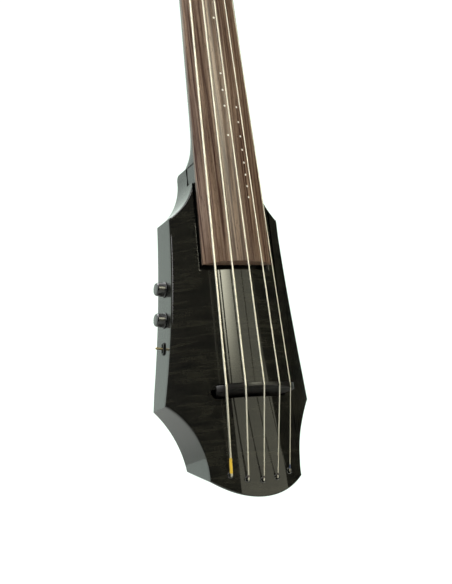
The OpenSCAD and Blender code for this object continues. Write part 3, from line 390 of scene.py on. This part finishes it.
def refined(node, material, *steps, crease=35, sharp=35, segments=3):
    """Stands for a CAD node with its sharp edges rounded off.

    Each step is its width, a test that picks its edges (or None for them all), and whether the
    rounding may run its full width where edges lie close together."""
    shape = bmesh.new()
    shape.from_mesh(frame["nodes"][node].data)
    bmesh.ops.remove_doubles(shape, verts=shape.verts, dist=WELD)
    bmesh.ops.dissolve_limit(shape, angle_limit=FLAT_ENOUGH, verts=shape.verts, edges=shape.edges)
    for width, chosen, free in steps:
        edges = [e for e in shape.edges if len(e.link_faces) == 2
                 and e.calc_face_angle(0) > math.radians(sharp) and (chosen is None or chosen(e))]
        bmesh.ops.bevel(shape, geom=edges, offset=width, offset_type="OFFSET", segments=segments,
                        profile=0.5, affect="EDGES", material=-1, clamp_overlap=not free,
                        loop_slide=True)
    piece = settle(f"{node}_finished", shape, material, body_of(node), crease)
    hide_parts(node)
    return piece


def from_arch_axis(point):
    """The step from the axis of the arched front out to a point, square to that axis."""
    along = Vector((0, -math.sin(ARCH_TILT), math.cos(ARCH_TILT)))
    rel = point - Vector((0, ARCH_AXIS_Y, BRIDGE.z))
    return rel - along * rel.dot(along)


def arch_distance(point):
    """How far a point lies from the surface of the arched front."""
    return abs(from_arch_axis(point).length - ARCH_R)


def true_arch(mesh, corners):
    """Turns the corner normals of the arched front's facets to those of the smooth arch."""
    for face in mesh.polygons:
        if all(arch_distance(mesh.vertices[i].co) < ON_ARCH for i in face.vertices):
            for loop in face.loop_indices:
                point = mesh.vertices[mesh.loops[loop].vertex_index].co
                corners[loop] = from_arch_axis(point).normalized()


def even_shading(piece, correct=None):
    """Lets each wide face keep its own direction, so that only the rounding beside it bends."""
    mesh = piece.data
    around = {}
    for face in mesh.polygons:
        for vertex in face.vertices:
            around.setdefault(vertex, []).append(face)
    corners = [Vector()] * len(mesh.loops)
    for face in mesh.polygons:
        for loop in face.loop_indices:
            total = Vector()
            for other in around[mesh.loops[loop].vertex_index]:
                if other.normal.dot(face.normal) > SAME_SURFACE:
                    total += other.normal * other.area
            corners[loop] = total.normalized()
    if correct:
        correct(mesh, corners)
    mesh.normals_split_custom_set(corners)


def on_front(edge):
    return all(arch_distance(v.co) < FRONT_REACH for v in edge.verts)


def on_back(edge):
    return all(abs(v.co.y + max(0.0, v.co.z - KNEE_Z) * math.tan(BACK_SLOPE)) < BACK_REACH
               for v in edge.verts)


def on_top_corner(edge):
    return on_back(edge) and all(v.co.z > BODY_TOP_Z - BACK_REACH for v in edge.verts)


def beside(node, spare):
    """Tests whether an edge lies beside a CAD node, seen from the front."""
    box = [Vector(corner) for corner in frame["nodes"][node].bound_box]
    low = Vector([min(c[i] for c in box) - spare for i in range(3)])
    high = Vector([max(c[i] for c in box) + spare for i in range(3)])
    return lambda edge: all(low.x < v.co.x < high.x and low.z < v.co.z < high.z
                            for v in edge.verts)


def toward(degrees):
    """The level direction so many degrees round to the right from straight ahead of the front."""
    turn = math.radians(degrees)
    return Vector((math.sin(turn), -math.cos(turn), 0))


# ---- operators -------------------------------------------------------------------------------
class BASS_OT_stage(bpy.types.Operator):
    """Makes the pale floor, the room light, the soft lamps and the camera"""
    bl_idname = "bass.stage"
    bl_label = "Stage"

    def execute(self, context):
        scene = context.scene
        scene.view_settings.view_transform = "Standard"
        world = bpy.data.worlds.new("pale_room")
        world.use_nodes = True
        tree = world.node_tree
        tree.nodes.clear()
        # The room is bright behind the instrument and a little dimmer in front of it
        way = add(tree, "ShaderNodeTexCoord").outputs["Generated"]
        depth = add(tree, "ShaderNodeSeparateXYZ", {"Vector": way}).outputs["Y"]
        level = add(tree, "ShaderNodeMapRange", {
            "Value": depth, "From Min": -0.3, "From Max": 0.5}, interpolation_type="SMOOTHSTEP")
        light = add(tree, "ShaderNodeMix", {
            "Factor": level.outputs["Result"], "A": (0.84, 0.84, 0.83, 1),
            "B": (1.08, 1.22, 1.12, 1)}, data_type="RGBA")
        sky = add(tree, "ShaderNodeBackground", {
            "Color": light.outputs["Result"], "Strength": 1.0})
        add(tree, "ShaderNodeOutputWorld", {"Surface": sky.outputs["Background"]})
        scene.world = world

        floor_shape = bmesh.new()
        bmesh.ops.create_grid(floor_shape, x_segments=1, y_segments=1, size=14)
        bmesh.ops.translate(floor_shape, verts=floor_shape.verts, vec=(0, 0, FLOOR_Z))
        self.standing("floor", floor_shape, coated("matt_pale_vinyl", "#d9d9d6", 0.8, 30.0, 0.05))

        # A black curtain round the front keeps the lacquer black, and only reflections see it
        curtain = bmesh.new()
        start = curtain.verts.new(toward(CURTAIN_FROM) * CURTAIN_R + Vector((0, 0, -0.74)))
        top = curtain.verts.new(start.co + Vector((0, 0, 3.4)))
        curtain.edges.new((start, top))
        bmesh.ops.spin(curtain, geom=curtain.verts[:] + curtain.edges[:], cent=(0, 0, 0),
                       axis=(0, 0, 1), angle=math.radians(CURTAIN_TURN), steps=56, use_merge=False)
        velvet = coated("black_velvet", "#050505", 1.0, 30.0, 0.1)
        self.standing("curtain", curtain, velvet).visible_camera = False

        # A tall light panel to the right of the viewer, brightest at its upper left
        panel = bmesh.new()
        across = toward(PANEL_TURN + 90)
        middle = toward(PANEL_TURN) * PANEL_OUT
        corners = ((-0.98, 1.7), (-1.02, 0.7), (-1.07, 0.4), (-1.08, -0.6), (1.75, -0.6),
                   (1.25, 0.1), (0.55, 0.6), (0.45, 1.7))
        bmesh.ops.contextual_create(panel, geom=[
            panel.verts.new(middle + across * u + Vector((0, 0, v))) for u, v in corners])
        self.standing("light_panel", panel, self.panel_light()).visible_camera = False

        # A narrow one on the left and one overhead draw the lines of light on rounded edges
        strip = bmesh.new()
        for degrees in STRIP_SPAN:
            foot = toward(degrees) * STRIP_OUT
            strip.edges.new([strip.verts.new(foot + Vector((0, 0, z))) for z in (0.75, CEILING_Z)])
        bmesh.ops.contextual_create(strip, geom=strip.edges[:])
        above = bmesh.ops.create_grid(strip, x_segments=1, y_segments=1, size=1.1)
        bmesh.ops.translate(strip, verts=above["verts"], vec=(-0.7, 0.6, CEILING_Z))
        self.standing("light_strip", strip, self.strip_light()).visible_camera = False

        self.lamp("top_softbox", (-0.6, -1.2, 2.4), (0, -0.09, 0.12), 1.6, 1.2, 18)

        lens = bpy.data.cameras.new("camera")
        lens.lens = 80.26
        lens.sensor_width = 36
        lens.dof.use_dof = False
        lens.clip_end = 60
        eye = bpy.data.objects.new("camera", lens)
        turn = Matrix((EYE_RIGHT, EYE_UP, -EYE_AHEAD)).transposed()
        eye.matrix_world = Matrix.Translation(EYE) @ turn.to_4x4()
        scene.collection.objects.link(eye)
        scene.camera = eye
        return {"FINISHED"}

    @staticmethod
    def standing(name, shape, material):
        """A piece of the room."""
        mesh = bpy.data.meshes.new(name)
        shape.to_mesh(mesh)
        shape.free()
        mesh.materials.append(material)
        thing = bpy.data.objects.new(name, mesh)
        bpy.context.scene.collection.objects.link(thing)
        return thing

    @staticmethod
    def strip_light():
        """Even white light."""
        material, tree, _ = new_material("lit_tube")
        glow = add(tree, "ShaderNodeEmission", {"Color": (1.0, 1.0, 1.0, 1), "Strength": 9.0})
        add(tree, "ShaderNodeOutputMaterial", {"Surface": glow.outputs["Emission"]})
        return material

    @staticmethod
    def panel_light():
        """Diffused light that fades to the right and downwards."""
        material, tree, where = new_material("lit_diffuser")
        place = add(tree, "ShaderNodeSeparateXYZ", {"Vector": where})
        left = add(tree, "ShaderNodeMapRange", {
            "Value": place.outputs["X"], "From Min": 0.2, "From Max": 0.95, "To Min": 1.0,
            "To Max": 0.0}, interpolation_type="SMOOTHSTEP")
        high = add(tree, "ShaderNodeMapRange", {
            "Value": place.outputs["Z"], "From Min": 0.3, "From Max": 0.78},
            interpolation_type="SMOOTHSTEP")
        both = add(tree, "ShaderNodeMath", {
            0: left.outputs["Result"], 1: high.outputs["Result"]}, operation="MULTIPLY")
        power = add(tree, "ShaderNodeMath", {0: both.outputs["Value"], 1: 12.5, 2: 1.3},
                    operation="MULTIPLY_ADD")
        glow = add(tree, "ShaderNodeEmission", {
            "Color": (1.0, 0.98, 0.76, 1), "Strength": power.outputs["Value"]})
        add(tree, "ShaderNodeOutputMaterial", {"Surface": glow.outputs["Emission"]})
        return material

    @staticmethod
    def lamp(name, place, target, width, height, watts):
        data = bpy.data.lights.new(name, "AREA")
        data.shape = "RECTANGLE"
        data.size, data.size_y = width, height
        data.energy = watts
        lamp = bpy.data.objects.new(name, data)
        lamp.location = place
        aim = Vector(target) - Vector(place)
        lamp.rotation_euler = aim.to_track_quat("-Z", "Y").to_euler()
        lamp.visible_camera = False
        bpy.context.scene.collection.objects.link(lamp)


class BASS_OT_body(bpy.types.Operator):
    """Rounds and lacquers the body and its arched flamed top"""
    bl_idname = "bass.body"
    bl_label = "Body and Top"

    def execute(self, context):
        by_bridge = beside("bridge", 6 * MM)
        by_ferrule = beside("front_ferrules", 2 * MM)

        def rim(edge):
            return on_front(edge) and not by_bridge(edge) and not by_ferrule(edge)

        def pocket(edge):
            return on_front(edge) and by_bridge(edge)

        even_shading(refined("top_plate", flamed_maple_under_gloss(),
                             (sizes().front_round, rim, True),
                             (sizes().pocket_round, pocket, False)),
                     true_arch)
        even_shading(refined("body_core", black_lacquer(),
                             (sizes().corner_round, on_top_corner, True),
                             (sizes().back_round, on_back, False)))
        return {"FINISHED"}


class BASS_OT_neck(bpy.types.Operator):
    """Finishes the neck, its headstock, the nut and the truss rod's parts"""
    bl_idname = "bass.neck"
    bl_label = "Neck"

    def execute(self, context):
        head_foot = BRIDGE.z + 1.1
        even_shading(refined(
            "neck", black_lacquer("buffed_black_neck_lacquer", 0.12),
            (sizes().head_round, lambda e: all(v.co.z > head_foot for v in e.verts), False),
            crease=50))
        refined("nut", polished_ebony(), (sizes().thin_round, None, False))
        plastic = coated("moulded_black_acrylic", "#0b0b0b", 0.18, 2.0, 0.08, 0.3)
        refined("truss_rod_cover", plastic, (sizes().cover_round, None, False))
        steel = metal("zinc_plated_steel", "#c3c4c4", 0.3)
        paint(steel, "truss_rod", "truss_cover_screws", "neck_bolts")
        return {"FINISHED"}


class BASS_OT_fingerboard(bpy.types.Operator):
    """Finishes the rosewood fingerboard and its position dots"""
    bl_idname = "bass.fingerboard"
    bl_label = "Fingerboard"

    def execute(self, context):
        refined("fingerboard", oiled_rosewood(), (sizes().board_round, None, False), crease=30,
                sharp=50)
        paint(coated("polished_pearl", "#f2f0e8", 0.2, 2.0, 0.05, 0.5), "position_dots")
        return {"FINISHED"}


class BASS_OT_bridge(bpy.types.Operator):
    """Finishes the ebony bridge and the parts inside it"""
    bl_idname = "bass.bridge"
    bl_label = "Bridge"

    def execute(self, context):
        refined("bridge", polished_ebony(), (sizes().bridge_round, None, False), crease=30,
                sharp=40)
        paint(metal("zinc_plated_steel", "#c3c4c4", 0.3), "bridge_height_screws")
        paint(metal("piezo_brass_film", "#c9a24a", 0.3), "bridge_pickups")
        return {"FINISHED"}


class BASS_OT_strings(bpy.types.Operator):
    """Finishes the five strings, their silks, ball ends and ferrules"""
    bl_idname = "bass.strings"
    bl_label = "Strings"

    def execute(self, context):
        ribbon = nickel_ribbon()
        for letter in LETTERS:
            refined(f"string_{letter}", ribbon, crease=60)
        refined("string_silks", silk_thread(), crease=60)
        paint(metal("turned_brass", "#c8a455", 0.28), "ball_ends")
        enamel = coated("gloss_black_enamel", "#0a0a0b", 0.08, 3.0, 0.05, 1.0)
        turned = (sizes().metal_round, None, False)
        refined("front_ferrules", enamel, turned, crease=50, sharp=60)
        refined("rear_ferrules", metal("polished_chrome", "#dcdde0", 0.07), turned, crease=50,
                sharp=50)
        return {"FINISHED"}


class BASS_OT_controls(bpy.types.Operator):
    """Finishes the two knobs, the switch and what they turn inside the body"""
    bl_idname = "bass.controls"
    bl_label = "Controls"

    def execute(self, context):
        plastic = coated("polished_black_plastic", "#080808", 0.24, 2.0, 0.06, 0.15)
        refined("toggle_bezel", coated("moulded_black_nylon", "#0d0d0d", 0.3, 0.8, 0.2),
                (sizes().thin_round, None, False))
        for node in ("volume_knob", "tone_knob"):
            refined(node, plastic, (sizes().knob_round, None, False), crease=40, sharp=30)
        steel = metal("zinc_plated_steel", "#c3c4c4", 0.3)
        paint(steel, "volume_shaft", "tone_shaft", "control_pots", "pot_nuts", "toggle_switch",
              "toggle_screws")
        worn = metal("worn_nickel_plate", "#b3a583", 0.32, (3, 3, 6))
        refined("toggle_lever", worn, crease=50)
        return {"FINISHED"}


class BASS_OT_electrics(bpy.types.Operator):
    """Finishes the output jack, its plate, the board, the leads and the cavity's cover"""
    bl_idname = "bass.electrics"
    bl_label = "Jack and Electronics"

    def execute(self, context):
        steel = metal("zinc_plated_steel", "#c3c4c4", 0.3)
        paint(steel, "jack_screws", "cavity_screws")
        refined("output_jack", metal("nickel_plated_brass", "#cfcabd", 0.18),
                (sizes().metal_round, None, False), crease=40, sharp=50)
        refined("jack_plate", coated("black_powder_coat", "#101010", 0.4, 0.6, 0.5),
                (sizes().plate_round, None, False), crease=40)
        paint(coated("green_solder_mask", "#14512b", 0.3, 1.0, 0.2), "circuit_board")
        paint(coated("black_lead_jacket", "#0c0c0c", 0.5, 1.0, 0.2), "wiring")
        refined("cavity_cover", coated("grained_black_abs", "#141414", 0.5, 0.9, 0.7),
                (sizes().cover_round, None, False), crease=40)
        return {"FINISHED"}


class BASS_OT_stand_mount(bpy.types.Operator):
    """Finishes the stand plate on the back and its screws"""
    bl_idname = "bass.stand_mount"
    bl_label = "Stand Mount"

    def execute(self, context):
        refined("stand_plate", metal("brushed_aluminium", "#a9abad", 0.32, (40, 3, 0.4)),
                (sizes().cover_round, None, False), crease=40)
        paint(metal("zinc_plated_steel", "#c3c4c4", 0.3), "stand_plate_screws")
        return {"FINISHED"}


class BASS_OT_tuners(bpy.types.Operator):
    """Finishes the five worm tuners"""
    bl_idname = "bass.tuners"
    bl_label = "Tuners"

    def execute(self, context):
        black = metal("black_nickel_plate", "#3a3a3d", 0.2, (6, 6, 6))
        turned = (sizes().metal_round, None, False)
        refined("tuner_frames", black, turned, crease=40, sharp=60)
        refined("tuner_bushings", black, turned, crease=40, sharp=60)
        paint(metal("zinc_plated_steel", "#c3c4c4", 0.3), "tuner_screws")
        chrome = metal("polished_chrome", "#dcdde0", 0.07)
        brass = metal("cut_brass", "#c7a352", 0.26)
        for letter in LETTERS:
            refined(f"tuner_key_{letter}", black, crease=32)
            refined(f"tuner_post_{letter}", chrome, turned, crease=40, sharp=60)
            refined(f"tuner_gear_{letter}", brass, crease=30)
        return {"FINISHED"}


class BASS_PT_panel(bpy.types.Panel):
    bl_idname = "BASS_PT_panel"
    bl_label = "Electric Double Bass"
    bl_space_type = "VIEW_3D"
    bl_region_type = "UI"
    bl_category = "Double Bass"

    def draw(self, context):
        layout = self.layout
        for group in (context.scene.bass_sizes, context.scene.bass_colours):
            box = layout.box()
            for name in group.__annotations__:
                box.prop(group, name)
        for operator in OPERATORS:
            layout.operator(operator.bl_idname)


OPERATORS = (
    BASS_OT_stage, BASS_OT_body, BASS_OT_neck, BASS_OT_fingerboard, BASS_OT_bridge,
    BASS_OT_strings, BASS_OT_controls, BASS_OT_electrics, BASS_OT_stand_mount, BASS_OT_tuners,
)
CLASSES = (BassSizes, BassColours, *OPERATORS, BASS_PT_panel)


def register():
    for made in CLASSES:
        bpy.utils.register_class(made)
    bpy.types.Scene.bass_sizes = PointerProperty(type=BassSizes)
    bpy.types.Scene.bass_colours = PointerProperty(type=BassColours)


def unregister():
    del bpy.types.Scene.bass_colours
    del bpy.types.Scene.bass_sizes
    for made in reversed(CLASSES):
        bpy.utils.unregister_class(made)


def main():
    register()
    for operator in OPERATORS:
        group, name = operator.bl_idname.split(".")
        getattr(getattr(bpy.ops, group), name)()


if __name__ == "__main__":
    main()
